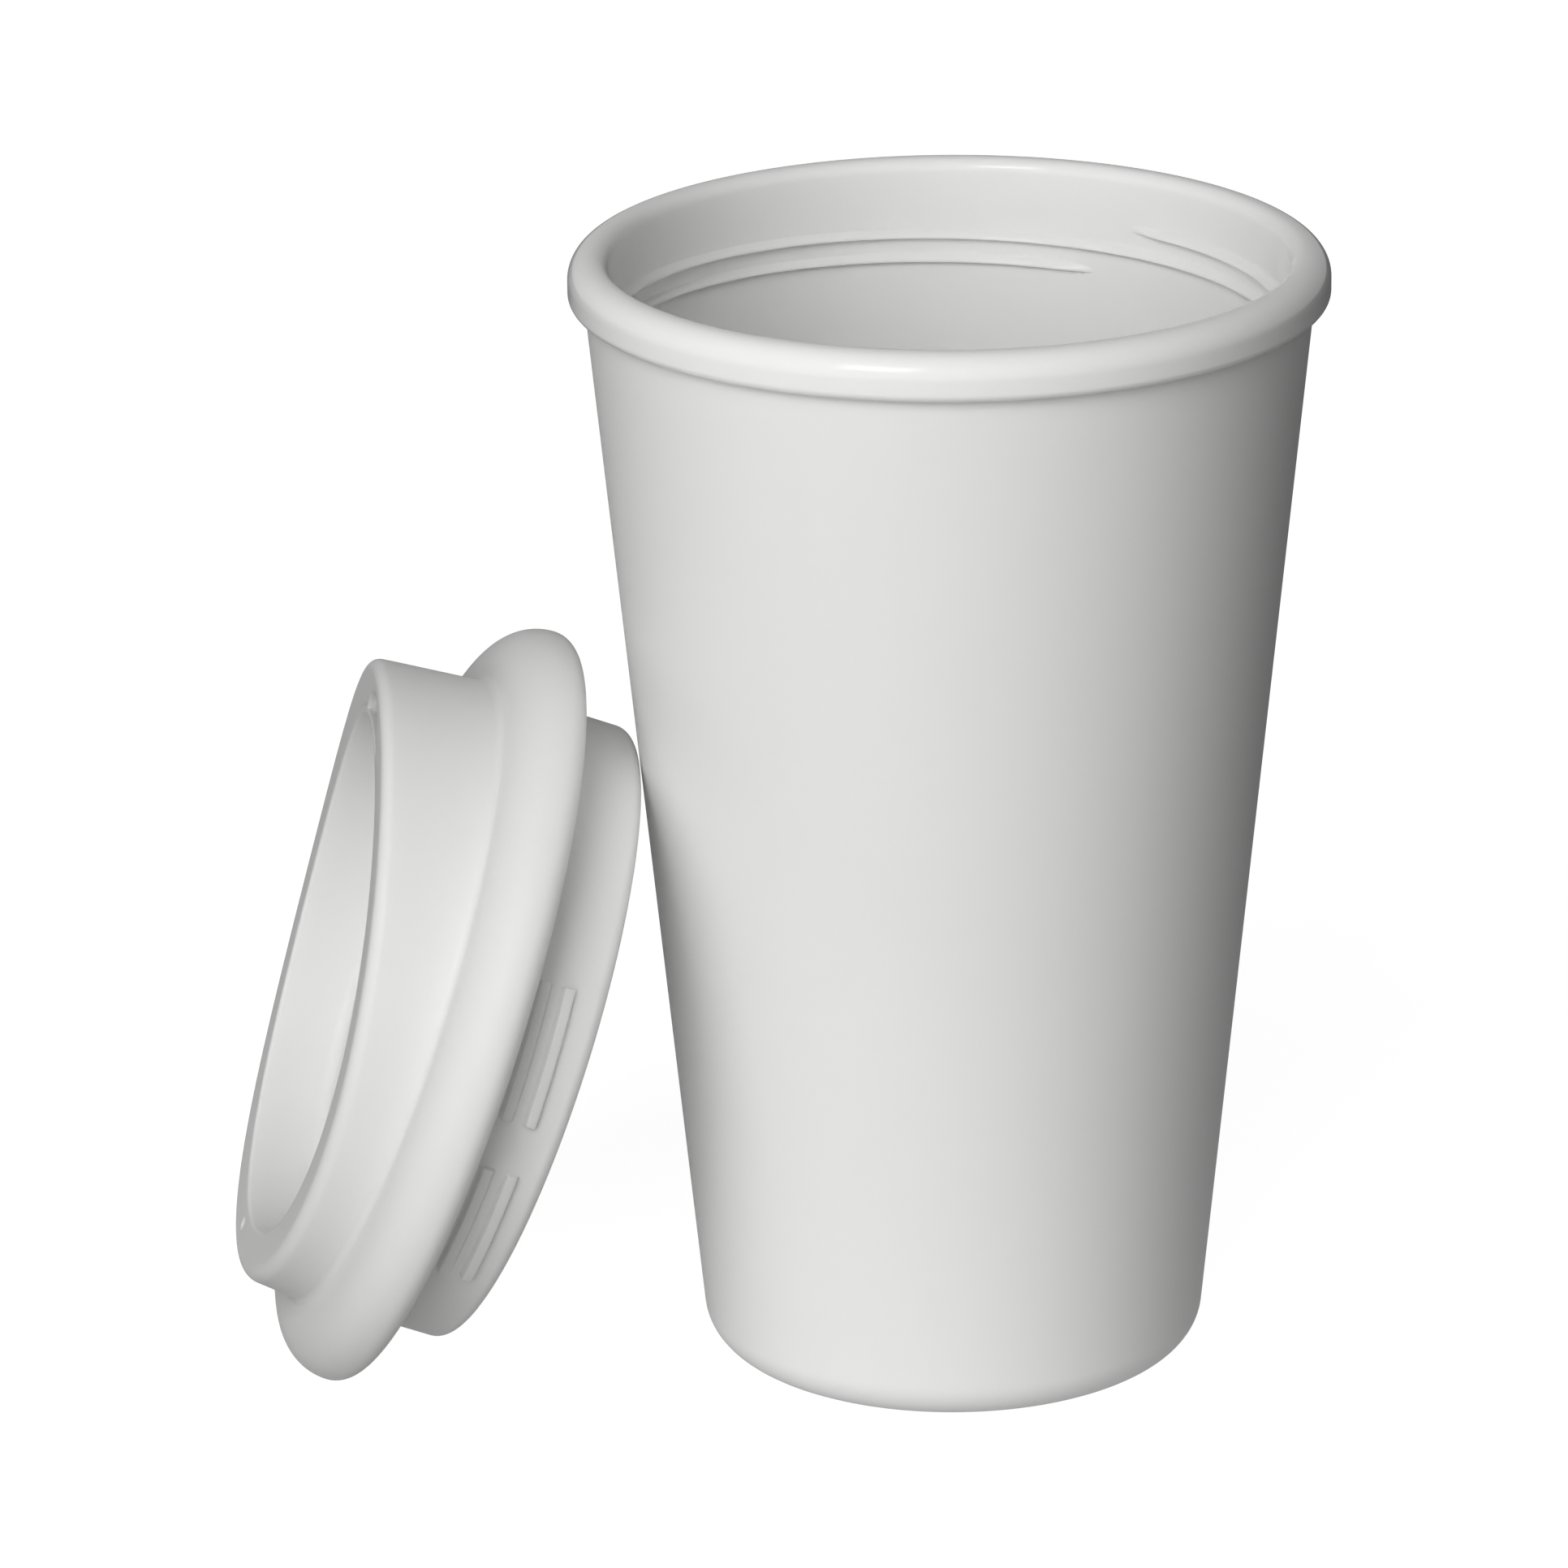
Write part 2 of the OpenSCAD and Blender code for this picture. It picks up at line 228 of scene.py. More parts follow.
def fuse(body: bmesh.types.BMesh, parts: list[bmesh.types.BMesh]) -> bmesh.types.BMesh:
    """Fuses closed meshes into one, so that no wall is left inside the plastic.

    Args:
        body: the main mesh, freed afterwards.
        parts: the meshes that are fused to it, which don't meet each other, freed afterwards.

    Returns:
        The fused mesh.
    """
    first, tools = bpy.data.meshes.new("body"), bpy.data.meshes.new("tools")
    body.to_mesh(first)
    tool = bmesh.new()
    for part in parts:
        part.to_mesh(tools)
        tool.from_mesh(tools)
        part.free()
    tool.to_mesh(tools)
    tool.free()
    body.free()
    holders = [bpy.data.objects.new(data.name, data) for data in (first, tools)]
    for holder in holders:
        bpy.context.scene.collection.objects.link(holder)
    union = holders[0].modifiers.new("union", "BOOLEAN")
    union.operation = "UNION"
    union.solver = "EXACT"
    union.object = holders[1]
    fused = bmesh.new()
    fused.from_object(holders[0], bpy.context.evaluated_depsgraph_get())
    for holder, data in zip(holders, (first, tools)):
        bpy.data.objects.remove(holder)
        bpy.data.meshes.remove(data)
    return fused


def finish_piece(
    mesh: bmesh.types.BMesh,
    name: str,
    material: bpy.types.Material,
    node: str,
    crease: float,
) -> bpy.types.Object:
    """Turns a bmesh in millimetres into a piece of the part.

    Args:
        mesh: the mesh, freed afterwards.
        name: the piece's name.
        material: its finish.
        node: the CAD node that it stands for.
        crease: faces that meet at more than this many degrees keep a sharp edge.

    Returns:
        The new object, at the origin, unturned and unscaled.
    """
    bmesh.ops.scale(mesh, vec=(MM, MM, MM), verts=mesh.verts[:])
    limit = math.radians(crease)
    for face in mesh.faces:
        face.smooth = True
    for edge in mesh.edges:
        edge.smooth = not (len(edge.link_faces) == 2 and edge.calc_face_angle(0.0) > limit)
    data = bpy.data.meshes.new(name)
    mesh.to_mesh(data)
    mesh.free()
    data.materials.append(material)
    piece = bpy.data.objects.new(name, data)
    bpy.context.scene.collection.objects.link(piece)
    # Large faces keep their own shade beside narrow roundings.
    shade = piece.modifiers.new("even_shade", "WEIGHTED_NORMAL")
    shade.keep_sharp = True
    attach(piece, "root")
    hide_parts(node)
    LOG.info("%s: %d faces, stands for %s", name, len(data.polygons), node)
    return piece


@dataclass(frozen=True)
class Polypropylene:
    """Injection-moulded white polypropylene.

    The plastic is slightly milky, so light soaks in a little and softens the
    shade on thin walls. The mould's own finish sets the gloss: a polished
    core leaves a wet-looking sheen, a blasted cavity a satin one.
    """

    name: str
    colour: str
    shade: str
    roughness: float
    roughness_spread: float
    grain_mm: float
    grain_depth_mm: float
    ior: float = 1.49
    milkiness: float = 0.5
    soak_mm: float = 1.2
    blotch_mm: float = 26.0

    def build(self) -> bpy.types.Material:
        """Makes the material.

        Returns:
            A node material on Object coordinates.
        """
        material = bpy.data.materials.new(self.name)
        material.use_nodes = True
        tree = material.node_tree
        tree.nodes.clear()
        place = add_node(tree, "ShaderNodeTexCoord").outputs["Object"]
        # Slow drift of tone where the melt cooled unevenly, a few per cent at most.
        blotch = add_node(
            tree,
            "ShaderNodeTexNoise",
            inputs={"Vector": place, "Scale": 1 / (self.blotch_mm * MM), "Detail": 2.0, "Roughness": 0.45},
        )
        tone = add_node(
            tree,
            "ShaderNodeMix",
            {"data_type": "RGBA"},
            {"Factor": blotch.outputs["Fac"], 6: srgb(self.shade), 7: srgb(self.colour)},
        )
        # The mould's blasted or polished grain, drawn a little coarser than real so that it shows.
        grain = add_node(
            tree,
            "ShaderNodeTexNoise",
            inputs={"Vector": place, "Scale": 1 / (self.grain_mm * MM), "Detail": 3.0, "Roughness": 0.55},
        )
        gloss = add_node(
            tree,
            "ShaderNodeMapRange",
            inputs={
                "Value": grain.outputs["Fac"],
                "From Min": 0.3,
                "From Max": 0.7,
                "To Min": self.roughness - self.roughness_spread,
                "To Max": self.roughness + self.roughness_spread,
            },
        )
        bump = add_node(
            tree,
            "ShaderNodeBump",
            inputs={"Height": grain.outputs["Fac"], "Strength": 1.0, "Distance": self.grain_depth_mm * MM},
        )
        skin = add_node(
            tree,
            "ShaderNodeBsdfPrincipled",
            {"subsurface_method": "RANDOM_WALK"},
            {
                "Base Color": tone.outputs[2],
                "Roughness": gloss.outputs["Result"],
                "Normal": bump.outputs["Normal"],
                "IOR": self.ior,
                "Subsurface Weight": self.milkiness,
                "Subsurface Scale": self.soak_mm * MM,
                "Subsurface Radius": (1.0, 1.0, 1.0),
            },
        )
        add_node(tree, "ShaderNodeOutputMaterial", inputs={"Surface": skin.outputs["BSDF"]})
        return material


class Finish(Enum):
    """The three moulded finishes of the cup."""

    # Blasted cavity: an even satin with no clear reflections.
    SHELL = Polypropylene("satin_polypropylene", "#F2F2F1", "#EFEFEE", 0.46, 0.03, 0.35, 0.0022)
    # Polished core: smooth enough for a soft window of light on rim and thread.
    LINER = Polypropylene("polished_polypropylene", "#F4F4F3", "#F2F2F1", 0.12, 0.02, 0.5, 0.0004)
    # Fine-textured mould: between the two.
    LID = Polypropylene(
        "fine_textured_polypropylene", "#E9E9E8", "#E6E6E5", 0.48, 0.03, 0.4, 0.0014, soak_mm=2.4
    )


@dataclass
class OuterShell:
    """Tapered outer wall with a rounded base and a shallow foot recess."""

    top_z: float = 134.85
    base_radius: float = 30.6
    top_radius: float = 44.05
    base_round: float = 5.4
    wall: float = 1.2
    floor: float = 1.8
    recess_radius: float = 22.01
    recess_depth: float = 0.8
    edge: float = 0.25
    steps: int = 256
    slope: float = field(init=False)
    lean: float = field(init=False)

    def __post_init__(self) -> None:
        """Works out the wall's taper."""
        self.slope = (self.top_radius - self.base_radius) / self.top_z
        self.lean = math.degrees(math.atan(self.slope))

    def radius(self, z: float) -> float:
        """Outer radius of the wall at height z."""
        return self.base_radius + self.slope * z

    def outline(self) -> list[Point]:
        """Section from the recess under the base, round the wall and back inside.

        Returns:
            Points that start and end on the axis.
        """
        cos_lean = math.cos(math.radians(self.lean))
        middle = self.base_radius + self.slope * self.base_round - self.base_round / cos_lean
        centre = (middle, self.base_round)
        thick = self.wall / cos_lean
        points: list[Point] = [(0.0, self.recess_depth), (self.recess_radius - self.edge, self.recess_depth)]
        points += arc((self.recess_radius + self.edge, self.edge), self.edge, 180, 270, 4)
        points += arc(centre, self.base_round, -90, -self.lean, 14)
        points += straight(points[-1], (self.top_radius, self.top_z), 24)
        points += [(self.top_radius, self.top_z), (self.top_radius - thick, self.top_z)]
        inner_round = self.base_round - self.wall
        low = math.degrees(math.asin((self.base_round - self.floor) / inner_round))
        points += arc(centre, inner_round, -self.lean, -low, 8)
        points += [(0.0, self.floor)]
        return points

    def build(self) -> bpy.types.Object:
        """Makes the shell.

        Returns:
            The finished piece.
        """
        mesh = bmesh.new()
        lathe(mesh, self.outline(), self.steps)
        bmesh.ops.recalc_face_normals(mesh, faces=mesh.faces[:])
        return finish_piece(mesh, "cup_shell", Finish.SHELL.value.build(), "outer_shell", 35)


@dataclass
class InnerLiner:
    """Inner cup with the rim bead and the two-start thread in its neck."""

    height: float = 140.5
    rim_radius: float = 46.0
    rim_height: float = 5.65
    rim_outer_round: float = 3.05
    rim_lower_round: float = 1.05
    neck_radius: float = 41.244
    neck_depth: float = 16.529
    neck_draft: float = 0.75
    wall_top: float = 42.744
    foot_outer: float = 28.0132
    foot_inner: float = 26.5632
    bottom_z: float = 3.2
    inside_z: float = 4.8
    floor_round: float = 4.0
    bend_above: float = 1.2
    bend_below: float = 1.6
    thread_spacing: float = 3.04
    ridge_tip: float = 39.894
    ridge_sweep: float = 357.0
    ridge_start: float = 58.5
    ridge_top_depth: float = 7.5
    ridge_fade: float = 9.0
    ridge_edge: float = 0.45
    ridge_top: float = 0.135
    ridge_crest: float = 0.07
    ridge_flank: float = 1.14
    ridge_bury: float = 0.12
    ridge_steps: int = 236
    steps: int = 256

    @property
    def rim_base(self) -> float:
        """Height of the rim's lower face."""
        return self.height - self.rim_height

    @property
    def crest_radius(self) -> float:
        """Radius of the rim's crest."""
        return self.rim_radius - self.rim_outer_round

    @property
    def inner_round(self) -> float:
        """Rounding between the crest and the neck."""
        return self.crest_radius - self.neck_radius

    def neck(self, z: float) -> float:
        """Inner radius of the neck at height z."""
        top = self.height - self.inner_round
        return self.neck_radius - self.neck_draft * (top - z) / (self.neck_depth - self.inner_round)

    def outline(self) -> list[Point]:
        """Section from the floor's underside, up the outside, over the rim and down inside.

        Returns:
            Points that start and end on the axis.
        """
        neck_low = (self.neck_radius - self.neck_draft, self.height - self.neck_depth)
        slope = (neck_low[0] - self.foot_inner) / (neck_low[1] - self.inside_z)
        lean = math.atan(slope)
        turn = (
            self.foot_inner + slope * self.floor_round - self.floor_round / math.cos(lean),
            self.inside_z + self.floor_round,
        )
        rim_foot = (self.rim_radius - self.rim_lower_round, self.rim_base + self.rim_lower_round)
        rim_top = (self.crest_radius, self.height - self.rim_outer_round)
        neck_top = (self.crest_radius, self.height - self.inner_round)
        points: list[Point] = [(0.0, self.bottom_z), (self.foot_outer, self.bottom_z)]
        points += [(self.wall_top, self.rim_base)]
        points += arc(rim_foot, self.rim_lower_round, -90, 0, 8)
        points += arc(rim_top, self.rim_outer_round, 0, 90, 18)
        points += arc(neck_top, self.inner_round, 90, 180, 12)[1:]
        points += straight(points[-1], neck_low, 6)
        # The neck runs into the tapered wall over a soft bend.
        above = neck_low[1] + self.bend_above
        points += [(self.neck(above), above)]
        points += [(neck_low[0] - slope * self.bend_below, neck_low[1] - self.bend_below)]
        bottom = arc(turn, self.floor_round, -math.degrees(lean), -90, 10)
        points += straight(points[-1], bottom[0], 20) + bottom
        points += [(0.0, self.inside_z)]
        return points

    def ridge_section(self) -> list[Point]:
        """Buttress section of a ridge: a steep edge about height 0 and a long flank above it.

        Returns:
            The corners, from the buried foot under the edge over the crest and back.
        """
        wall = self.neck_radius + self.ridge_bury
        tall = wall - self.ridge_tip
        # Both sides rise and fall as a half cosine, so foot and crest are round.
        eased = [(i / 7, (1 - math.cos(math.pi * i / 7)) / 2) for i in range(8)]
        under = [(wall - tall * share, self.ridge_top - self.ridge_edge * (1 - t)) for t, share in eased]
        back = self.ridge_top + self.ridge_crest
        over = [(wall - tall * (1 - share), back + self.ridge_flank * t) for t, share in eased]
        return under + over

    def ridge(self, turned: float) -> bmesh.types.BMesh:
        """One inward ridge that runs out into the wall at both ends.

        Args:
            turned: how far the ridge is turned about the axis, in degrees.

        Returns:
            The ridge's mesh.
        """
        lead = 2 * self.thread_spacing
        rise = lead * self.ridge_sweep / 360
        first = self.ridge_start + turned - self.ridge_sweep
        bar = helix(self.ridge_section(), first, self.ridge_sweep, rise, self.ridge_steps)
        low = self.height - self.ridge_top_depth - rise
        bmesh.ops.translate(bar, verts=bar.verts[:], vec=(0, 0, low))
        straight_wall = self.neck_radius + self.ridge_bury
        for vert in bar.verts:
            radius = math.hypot(vert.co.x, vert.co.y)
            # A hair past the first angle, so that the first row doesn't count as the last.
            along = (math.degrees(math.atan2(vert.co.y, vert.co.x)) - first + 0.001) % 360
            share = max(0.0, min(1.0, along / self.ridge_fade, (self.ridge_sweep - along) / self.ridge_fade))
            share = share * share * (3 - 2 * share)
            # The crest keeps its radius while the foot follows the neck's draft.
            wall = self.neck(vert.co.z) + self.ridge_bury
            depth = (straight_wall - radius) / (straight_wall - self.ridge_tip)
            target = wall - depth * share * (wall - self.ridge_tip)
            vert.co.x *= target / radius
            vert.co.y *= target / radius
        return bar

    def build(self) -> bpy.types.Object:
        """Makes the liner with its rim and thread.

        Returns:
            The finished piece.
        """
        mesh = bmesh.new()
        lathe(mesh, self.outline(), self.steps)
        bmesh.ops.recalc_face_normals(mesh, faces=mesh.faces[:])
        mesh = fuse(mesh, [self.ridge(0.0), self.ridge(180.0)])
        return finish_piece(mesh, "cup_liner", Finish.LINER.value.build(), "inner_liner", 50)


@dataclass
class Lid:
    """Screw lid: threaded skirt, hollow flange and a collar with a hollow-curved top."""

    flange_radius: float = 48.25
    flange_wall: float = 1.85
    flange_height: float = 8.55
    lower_round: float = 2.35
    skirt_radius: float = 39.444
    skirt_inner: float = 36.944
    skirt_inner_top: float = 36.444
    skirt_length: float = 10.1
    skirt_round: float = 1.5
    collar_radius: float = 39.844
    collar_lean: float = 4.5
    collar_low: float = 15.45
    sweep_radius: float = 294.0
    sweep_shift: float = 31.2
    collar_round: float = 1.8
    collar_fillet: float = 1.0
    ceiling_fillet: float = 0.6
    lip_turn: float = 72.0
    lip_edge: float = 0.1
    lip_low: float = 0.12
    lip_high: float = 0.32
    ledge_wall: float = 1.6
    recess_radius: float = 32.294
    recess_shift: float = 1.0
    recess_wall: float = 1.1
    recess_floor: float = 6.8
    floor_wall: float = 1.5
    recess_round: float = 1.5
    recess_draft: float = 0.03
    shift_reach: float = 36.2
    shift_fade: float = 1.6
    inside_reach: float = 34.0
    lift_foot: float = 1.1
    lift_head: float = 2.4
    edge: float = 0.45
    mouth_radius: float = 9.8
    mouth_reach: float = 35.994
    mouth_columns: int = 12
    mouth_edge: float = 0.22
    vent_diameter: float = 1.9
    vent_reach: float = 35.494
    vent_columns: int = 2
    vent_draft: float = 0.1
    thread_spacing: float = 3.04
    rib_height: float = 0.9
    rib_root: float = 1.85
    rib_crest: float = 1.35
    rib_depth: float = 6.53
    rib_sweep: float = 25.2
    rib_gap: float = 9.4
    rib_bury: float = 0.5
    rib_round: float = 0.3
    rib_edge: float = 0.24
    rib_steps: int = 32
    direction: float = 183.6
    yaw: float = 3.9
    lean: float = 20.8
    turn: float = -2.5
    distance: float = 61.4913
    ledge_rings: tuple[float, ...] = (33.6, 34.2, 34.8, 35.4, 36.0, 36.7)
    steps: int = 288

    @property
    def recess_outer(self) -> float:
        """Outer radius of the recess wall."""
        return self.recess_radius + self.recess_wall

    @property
    def slope(self) -> float:
        """Inward run of the collar's wall per millimetre of height."""
        return math.tan(math.radians(self.collar_lean))

    def sweep_z(self, u: float) -> float:
        """Height of the collar's top at u millimetres toward the drinking hole."""
        drop = math.sqrt(self.sweep_radius**2 - (u + self.sweep_shift) ** 2)
        return self.collar_low + self.sweep_radius - drop

    def outline(self) -> list[Point]:
        """Section of the lid with its collar at its lowest height.

        Returns:
            Points that start and end on the axis.
        """
        r, low, rise = self.recess_round, self.recess_floor, self.collar_low - self.recess_floor
        foot = self.recess_radius - self.recess_draft * rise
        wall_at_top = self.collar_radius - self.slope * (self.collar_low - self.flange_height)
        points: list[Point] = [(0.0, low)]
        points += arc((foot - r, low + r), r, -90, 0, 8)
        points += straight(points[-1], (self.recess_radius, self.collar_low - self.edge), 5)
        points += arc((self.recess_radius + self.edge, self.collar_low - self.edge), self.edge, 180, 90, 5)
        lip = (wall_at_top - self.collar_round, self.collar_low - self.collar_round)
        points += [(ring, self.collar_low) for ring in self.ledge_rings]
        points += arc(lip, self.collar_round, 90, self.collar_lean, 12)
        fillet = self.collar_fillet
        middle = self.collar_radius + fillet * (1 / math.cos(math.radians(self.collar_lean)) - self.slope)
        hollow = arc((middle, self.flange_height + fillet), fillet, 180 + self.collar_lean, 270, 7)
        points += straight(points[-1], hollow[0], 5) + hollow
        top_round = self.flange_height - self.lower_round
        crown = (self.flange_radius - top_round, self.lower_round)
        lip_centre = (self.flange_radius - self.lower_round, self.lower_round)
        points += arc(crown, top_round, 90, 0, 26)
        points += arc(lip_centre, self.lower_round, 0, -self.lip_turn, 10)[1:]
        lip_in = self.flange_radius - self.flange_wall
        points += [(lip_in + self.lip_edge, self.lip_low), (lip_in, self.lip_high)]
        points += arc(crown, top_round - self.flange_wall, 0, 90, 14)
        corner = self.ceiling_fillet
        ceiling = self.flange_height - self.flange_wall
        points += arc((self.skirt_radius + corner, ceiling - corner), corner, 90, 180, 4)
        end = (self.skirt_radius - self.skirt_round, self.skirt_round - self.skirt_length)
        points += straight(points[-1], (self.skirt_radius, end[1]), 6)
        points += arc(end, self.skirt_round, 0, -90, 10)
        points += arc((self.skirt_inner + self.edge, self.edge - self.skirt_length), self.edge, -90, -180, 4)
        under = self.collar_low - self.ledge_wall
        points += straight(points[-1], (self.skirt_inner_top, under), 8)
        points += [(self.skirt_inner_top, under)]
        points += [(ring, under) for ring in reversed(self.ledge_rings[1:-1])]
        points += [(self.recess_outer, under)]
        corner = r + self.recess_wall
        floor_z = low - self.floor_wall
        foot_outer = foot + self.recess_wall
        points += straight(points[-1], (foot_outer, floor_z + corner), 5)
        points += arc((foot_outer - corner, floor_z + corner), corner, 0, -90, 8)
        points += [(0.0, floor_z)]
        return points

    def lift(self, mesh: bmesh.types.BMesh) -> None:
        """Raises the collar to its hollow curve and moves the recess off centre.

        Args:
            mesh: the turned lid, changed in place.
        """
        start = self.flange_height + self.lift_foot
        end = self.collar_low - self.lift_head
        bottom = self.recess_floor - self.floor_wall - self.edge
        for vert in mesh.verts:
            radius = math.hypot(vert.co.x, vert.co.y)
            if radius < MERGE:
                continue
            if vert.co.z > bottom:
                share = max(0.0, min(1.0, (self.shift_reach - radius) / self.shift_fade))
                vert.co.y -= self.recess_shift * share
            if vert.co.z > start:
                share = min(1.0, (vert.co.z - start) / (end - start))
                run = self.recess_draft if radius < self.inside_reach else -self.slope
                raised = share * (self.sweep_z(vert.co.y) - self.collar_low)
                y = vert.co.y * (1 + run * raised / radius)
                raised = share * (self.sweep_z(y) - self.collar_low)
                vert.co.x *= 1 + run * raised / radius
                vert.co.y *= 1 + run * raised / radius
                vert.co.z += raised

    def grid(self, mesh: bmesh.types.BMesh, rows: list[Point], middle: float, half: int) -> Grid:
        """Finds the turned lid's vertices near one direction, before the collar is raised.

        Args:
            mesh: the turned lid.
            rows: radius and height of each row.
            middle: direction of the middle column in degrees.
            half: how many columns lie on each side of it.

        Returns:
            For each row its vertices, in the order of their angle.
        """
        step = 360 / self.steps
        first = round(middle / step) - half
        found: dict[tuple[float, float, int], bmesh.types.BMVert] = {}
        for vert in mesh.verts:
            column = round(math.degrees(math.atan2(vert.co.y, vert.co.x)) / step) % self.steps
            found[round(math.hypot(vert.co.x, vert.co.y), 2), round(vert.co.z, 2), column] = vert
        columns = [(first + i) % self.steps for i in range(2 * half + 1)]
        return [[found[round(r, 2), round(z, 2), column] for column in columns] for r, z in rows]

    def cut_patch(self, mesh: bmesh.types.BMesh, patch: Grid) -> None:
        """Takes out the faces that span a grid of vertices.

        Args:
            mesh: the lid, changed in place.
            patch: the grid's rows.
        """
        inside = {vert for row in patch for vert in row}
        faces = [f for f in mesh.faces if all(vert in inside for vert in f.verts)]
        bmesh.ops.delete(mesh, geom=faces, context="FACES")

    def cut_mouth(self, mesh: bmesh.types.BMesh, patches: list[Grid]) -> None:
        """Opens the crescent drinking hole between the recess wall and a smaller circle.

        Args:
            mesh: the raised lid, changed in place.
            patches: the ledge's top and underside near the hole, each as rows from the recess outward.
        """
        apart = self.mouth_reach - self.mouth_radius + self.recess_shift
        along = (apart**2 + self.recess_outer**2 - self.mouth_radius**2) / (2 * apart)
        across = math.sqrt(self.recess_outer**2 - along**2)
        inner_half, outer_half = math.atan2(across, along), math.atan2(across, along - apart)
        for drop, patch in zip((0.0, self.ledge_wall), patches):
            for number, row in enumerate(patch):
                share = number / (len(patch) - 1)
                for column, vert in enumerate(row):
                    turned = column / self.mouth_columns - 1
                    near, far = turned * inner_half, turned * outer_half
                    x_near = -self.recess_outer * math.sin(near)
                    x_far = -self.mouth_radius * math.sin(far)
                    x = x_near + share * (x_far - x_near)
                    y_near = self.recess_outer * math.cos(near) - self.recess_shift
                    y_far = self.mouth_radius * math.cos(far) + self.mouth_reach - self.mouth_radius
                    y = y_near + share * (y_far - y_near)
                    vert.co = (x, y, self.sweep_z(y) - drop)
            tips = [row[end] for row in patch for end in (0, -1)]
            self.cut_patch(mesh, patch)
            bmesh.ops.remove_doubles(mesh, verts=tips, dist=MERGE)
        edges = [e for e in mesh.edges if e.is_boundary]
        rim = [e for e in edges if all(v.co.z > self.sweep_z(v.co.y) - self.ledge_wall / 2 for v in e.verts)]
        bmesh.ops.bridge_loops(mesh, edges=edges)
        soften(mesh, rim, self.mouth_edge)

    def cut_vent(self, mesh: bmesh.types.BMesh, patches: list[Grid]) -> None:
        """Opens the round vent hole opposite the drinking hole.

        Args:
            mesh: the raised lid, changed in place.
            patches: the ledge's top and underside near the vent, each as rows.
        """
        for drop, patch in zip((0.0, self.ledge_wall), patches):
            self.cut_patch(mesh, patch)
            # Of the open edges, the loop on this side of the ledge.
            near = self.ledge_wall / 2
            edges = [e for e in mesh.edges if e.is_boundary and all(v.co.y < 0 for v in e.verts)]
            edges = [e for e in edges if abs(e.verts[0].co.z + drop - self.sweep_z(e.verts[0].co.y)) < near]
            ring = bmesh.ops.create_circle(
                mesh,
                segments=len(edges),
                radius=self.vent_diameter / 2 - self.vent_draft * drop,
                matrix=Matrix.Translation((0, -self.vent_reach, 0)),
            )["verts"]
            for vert in ring:
                vert.co.z = self.sweep_z(vert.co.y) - drop
            bmesh.ops.bridge_loops(mesh, edges=edges + list({e for vert in ring for e in vert.link_edges}))
        bmesh.ops.bridge_loops(mesh, edges=[e for e in mesh.edges if e.is_boundary])

    def rib(self, start: float, low: float) -> bmesh.types.BMesh:
        """One square-ended rib of the lid's thread.

        Args:
            start: the rib's first angle in degrees.
            low: height of its lower edge at angle 0.

        Returns:
            The rib's mesh.
        """
        lead = 2 * self.thread_spacing
        tip = self.skirt_radius + self.rib_height
        side = (self.rib_root - self.rib_crest) / 2
        foot = self.skirt_radius - self.rib_bury
        over, under = self.rib_root - side - self.rib_round, side + self.rib_round
        section = [(foot, 0.0), (self.skirt_radius, 0.0)]
        section += arc((tip - self.rib_round, under), self.rib_round, -90, 0, 2)
        section += arc((tip - self.rib_round, over), self.rib_round, 0, 90, 2)
        section += [(self.skirt_radius, self.rib_root), (foot, self.rib_root)]
        bar = helix(section, start, self.rib_sweep, lead * self.rib_sweep / 360, self.rib_steps)
        bmesh.ops.translate(bar, verts=bar.verts[:], vec=(0, 0, low + lead * start / 360))
        caps = [f for f in bar.faces if len(f.verts) > 4]
        soften(bar, list({e for f in caps for e in f.edges}), self.rib_edge)
        return bar

    def ribs(self) -> list[bmesh.types.BMesh]:
        """The lid's eight ribs: two rows, left and right of a gap, on each side.

        Returns:
            One mesh per rib.
        """
        ribs: list[bmesh.types.BMesh] = []
        for side in (0.0, math.pi):
            half_turn = Matrix.Rotation(side, 3, "Z")
            for start in (self.rib_gap / 2, -self.rib_gap / 2 - self.rib_sweep):
                for row in (0, 1):
                    rib = self.rib(start, row * self.thread_spacing - self.rib_depth)
                    bmesh.ops.rotate(rib, verts=rib.verts[:], cent=(0, 0, 0), matrix=half_turn)
                    ribs.append(rib)
        return ribs

    def place(self, mesh: bmesh.types.BMesh) -> None:
        """Leans the lid on the cup.

        Args:
            mesh: the upright lid, moved in place.
        """
        lean = math.radians(self.lean)
        stand = (self.flange_radius - self.lower_round) * math.cos(lean)
        stand += self.lower_round * (1 - math.sin(lean))
        way = math.radians(self.direction)
        spot = Vector((self.distance * math.cos(way), self.distance * math.sin(way), stand))
        turn = Matrix.Rotation(math.radians(self.direction + self.yaw + 90), 4, "Z")
        tip = Matrix.Rotation(math.radians(90 - self.lean), 4, "X")
        own = Matrix.Rotation(math.radians(self.turn), 4, "Z")
        bmesh.ops.transform(mesh, matrix=Matrix.Translation(spot) @ turn @ tip @ own, verts=mesh.verts[:])

